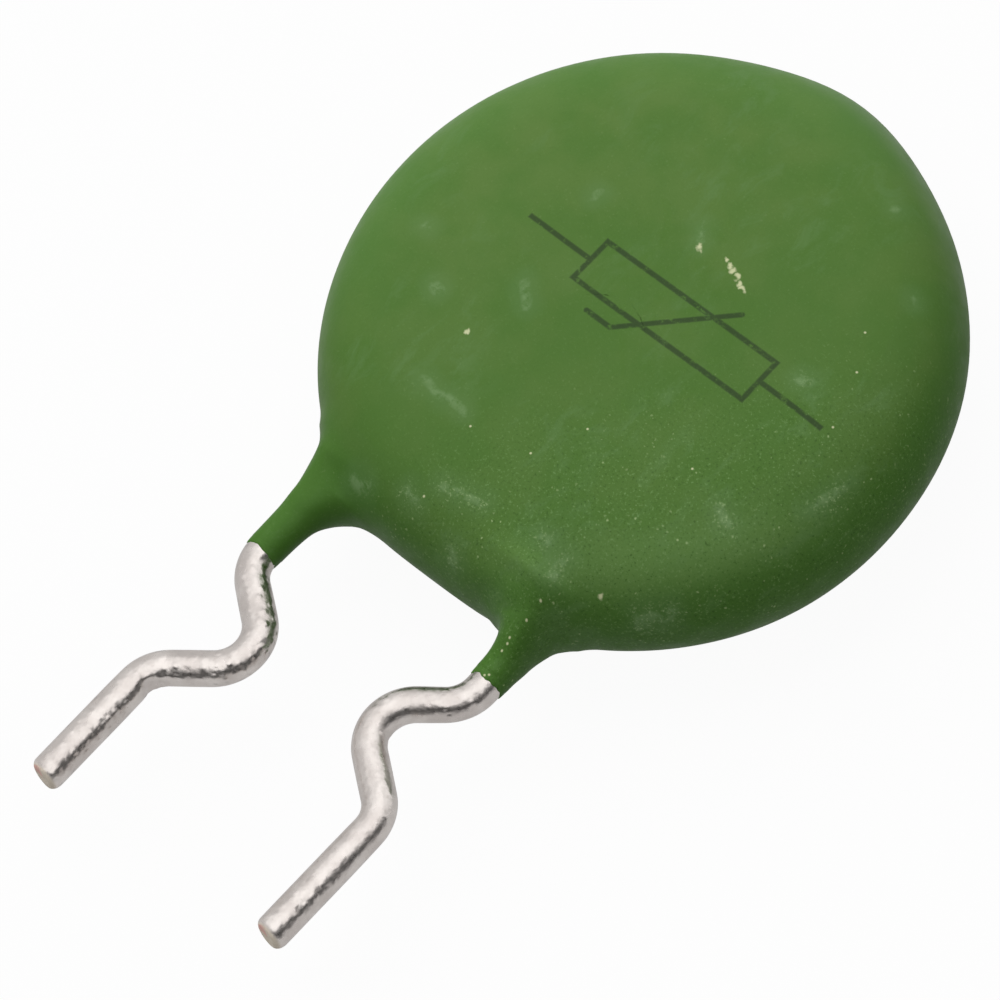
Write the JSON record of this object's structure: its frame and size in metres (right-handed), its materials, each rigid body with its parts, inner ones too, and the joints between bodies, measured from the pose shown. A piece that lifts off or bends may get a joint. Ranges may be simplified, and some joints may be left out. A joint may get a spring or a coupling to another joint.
{
  "type": "ntc thermistor",
  "caption": "Resin-dipped disc NTC thermistor with a ceramic disc inside and two kinked tinned wire leads side by side.",
  "frame": {"origin": "under the middle of the outer box, on the surface that the thermistor lies on", "axes": "+Z out of the marked face, -Y along the leads to their tips, +X from the rear lead to the front lead"},
  "size_m": [0.0166, 0.0269, 0.005],
  "materials": {
    "coating": "satin dipped resin",
    "ceramic": "sintered, dull",
    "silver": "fired silver, dull",
    "lead": "bright tinned wire",
    "solder": "satin solder"
  },
  "bodies": {
    "root": {"coating": "coating", "ceramic_disc": "ceramic", "front_electrode": "silver", "rear_electrode": "silver", "front_lead": "lead", "rear_lead": "lead", "front_solder": "solder", "rear_solder": "solder"}
  },
  "joints": []
}
